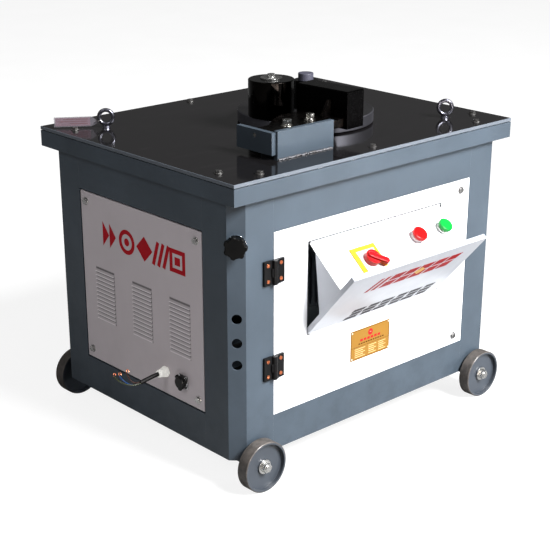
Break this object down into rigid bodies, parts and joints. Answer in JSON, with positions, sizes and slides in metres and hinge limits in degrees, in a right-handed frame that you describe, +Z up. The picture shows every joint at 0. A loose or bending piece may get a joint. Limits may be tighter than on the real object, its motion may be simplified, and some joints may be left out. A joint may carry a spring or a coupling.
{
  "type": "rebar bender",
  "caption": "Table-type rebar bending machine on wheels: steel cabinet with louvred panels, dark table, work disc with mandrel and roller, stop box and tilting control box.",
  "frame": {"origin": "floor level at the centre of the wheelbase, midway between the four wheel contacts and under the centre of the table", "axes": "+Z up, +Y from the door towards the rear, +X to the right of someone facing the door"},
  "size_m": [1.0477, 0.9043, 0.897],
  "materials": {
    "frame_enamel": "semi-gloss slate grey enamel",
    "table_gloss": "glossy near-black paint",
    "side_paint": "satin light grey powder coat",
    "door_paint": "satin white powder coat",
    "bright_steel": "zinc plated",
    "dark_steel": "oiled black oxide",
    "ground_steel": "turned and ground",
    "gear_steel": "machined, oiled",
    "grey_casting": "painted casting",
    "wheel_cast": "grey painted casting",
    "hinge_nylon": "black glass-filled nylon",
    "copper_screws": "copper-coloured plating",
    "chrome_trim": "polished",
    "black_plastic": "glossy phenolic",
    "white_nylon": "moulded nylon",
    "yellow_plate": "moulded yellow",
    "red_plastic": "moulded red",
    "green_plastic": "moulded green",
    "pale_plastic": "moulded pale grey",
    "belt_rubber": "matt",
    "nameplate_foil": "printed orange-gold",
    "tag_sleeve": "clear sleeve with a printed card",
    "sheath_rubber": "matt black",
    "core_blue_pvc": "smooth",
    "core_brown_pvc": "smooth",
    "core_earth_pvc": "green and yellow"
  },
  "bodies": {
    "root": {"corner_posts": "frame_enamel", "cabinet_rails": "frame_enamel", "base_frame": "frame_enamel", "axle_beams": "frame_enamel", "axles": "bright_steel", "side_panel_left": "side_paint", "side_panel_right": "side_paint", "rear_panel": "side_paint", "panel_screws": "bright_steel", "apron": "frame_enamel", "table_top": "table_gloss", "table_screws": "bright_steel", "eyebolts": "bright_steel", "hang_tag": "tag_sleeve", "cable_gland": "white_nylon", "socket_flange": "chrome_trim", "hinge_frame_leaves": "hinge_nylon", "stop_box": "frame_enamel", "stop_bolts": "bright_steel", "motor": "grey_casting", "gearbox_case": "grey_casting", "gearbox_cover": "grey_casting", "bearings": "ground_steel", "drive_belts": "belt_rubber", "electrical_box": "side_paint", "limit_switch": "black_plastic", "cable_sheath": "sheath_rubber", "core_blue": "core_blue_pvc", "core_brown": "core_brown_pvc", "core_earth": "core_earth_pvc"},
    "stop_slide": {"stop_slide": "dark_steel", "stop_block": "dark_steel"},
    "disc": {"work_disc": "ground_steel", "spindle": "gear_steel", "bull_gear": "gear_steel", "mandrel": "dark_steel", "mandrel_sleeve": "dark_steel", "roller_pin": "bright_steel"},
    "roller": {"roller": "dark_steel"},
    "countershaft": {"countershaft": "gear_steel"},
    "input": {"input_shaft": "gear_steel", "input_pulley": "grey_casting"},
    "motor_rotor": {"motor_pulley": "grey_casting"},
    "wheel_front_left": {"wheel_front_left": "wheel_cast"},
    "wheel_front_right": {"wheel_front_right": "wheel_cast"},
    "wheel_rear_left": {"wheel_rear_left": "wheel_cast"},
    "wheel_rear_right": {"wheel_rear_right": "wheel_cast"},
    "door": {"door_panel": "door_paint", "hinge_door_leaves": "hinge_nylon", "door_screws": "copper_screws", "nameplate": "nameplate_foil"},
    "console": {"console_lid": "door_paint", "console_plate": "door_paint", "selector_plate": "yellow_plate", "button_bezels": "pale_plastic"},
    "selector": {"selector_handle": "red_plastic"},
    "stop_button": {"stop_button": "red_plastic"},
    "start_button": {"start_button": "green_plastic"},
    "star_knob": {"star_knob": "black_plastic"},
    "socket_cap": {"socket_cap": "black_plastic"}
  },
  "joints": [
    {"name": "disc_turn", "type": "hinge", "parent": "root", "child": "disc", "pos_m": [0.064, -0.031, 0.777], "axis": [0, 0, -1], "range_deg": [0, 200]},
    {"name": "roller_spin", "type": "hinge", "parent": "disc", "child": "roller", "pos_m": [-0.065, -0.042, 0.84], "axis": [0, 0, 1], "continuous": true},
    {"name": "countershaft_spin", "type": "hinge", "parent": "root", "child": "countershaft", "pos_m": [-0.10987, 0.01559, 0.55], "axis": [0, 0, -1], "range_deg": [-1000, 0]},
    {"name": "input_spin", "type": "hinge", "parent": "root", "child": "input", "pos_m": [-0.15091, 0.12835, 0.5], "axis": [0, 0, -1], "range_deg": [0, 4000]},
    {"name": "motor_spin", "type": "hinge", "parent": "root", "child": "motor_rotor", "pos_m": [0.215, 0.155, 0.4], "axis": [0, 0, -1], "range_deg": [0, 10000]},
    {"name": "stop_adjust", "type": "slide", "parent": "root", "child": "stop_slide", "axis": [1, 0, 0], "range_m": [-0.008, 0.008]},
    {"name": "wheel_front_left_spin", "type": "hinge", "parent": "root", "child": "wheel_front_left", "pos_m": [-0.4, -0.3764, 0.0635], "axis": [0, 1, 0], "continuous": true},
    {"name": "wheel_front_right_spin", "type": "hinge", "parent": "root", "child": "wheel_front_right", "pos_m": [0.4, -0.3764, 0.0635], "axis": [0, 1, 0], "continuous": true},
    {"name": "wheel_rear_left_spin", "type": "hinge", "parent": "root", "child": "wheel_rear_left", "pos_m": [-0.4, 0.3764, 0.0635], "axis": [0, 1, 0], "continuous": true},
    {"name": "wheel_rear_right_spin", "type": "hinge", "parent": "root", "child": "wheel_rear_right", "pos_m": [0.4, 0.3764, 0.0635], "axis": [0, 1, 0], "continuous": true},
    {"name": "door_swing", "type": "hinge", "parent": "root", "child": "door", "pos_m": [-0.345, -0.361, 0.411], "axis": [0, 0, -1], "range_deg": [0, 110]},
    {"name": "console_tilt", "type": "hinge", "parent": "door", "child": "console", "pos_m": [0, -0.352, 0.3435], "axis": [-1, 0, 0], "range_deg": [0, 40.6]},
    {"name": "selector_turn", "type": "hinge", "parent": "console", "child": "selector", "pos_m": [-0.093, -0.42098, 0.51618], "axis": [0, -0.6508, 0.7593], "range_deg": [-45, 45]},
    {"name": "stop_press", "type": "slide", "parent": "console", "child": "stop_button", "axis": [0, 0.6508, -0.7593], "range_m": [0, 0.006], "stiffness_N_per_m": 400, "springref_m": -0.005},
    {"name": "start_press", "type": "slide", "parent": "console", "child": "start_button", "axis": [0, 0.6508, -0.7593], "range_m": [0, 0.005], "stiffness_N_per_m": 400, "springref_m": -0.005},
    {"name": "knob_turn", "type": "hinge", "parent": "root", "child": "star_knob", "pos_m": [-0.442, -0.3384, 0.61], "axis": [-0.7071, -0.7071, 0], "continuous": true},
    {"name": "cap_turn", "type": "hinge", "parent": "root", "child": "socket_cap", "pos_m": [-0.456, -0.159, 0.2245], "axis": [-1, 0, 0], "range_deg": [0, 90]}
  ],
  "couplings": [
    {"joint": "countershaft_spin", "follows": "disc_turn", "ratio": -5},
    {"joint": "input_spin", "follows": "disc_turn", "ratio": 20},
    {"joint": "motor_spin", "follows": "disc_turn", "ratio": 50}
  ]
}
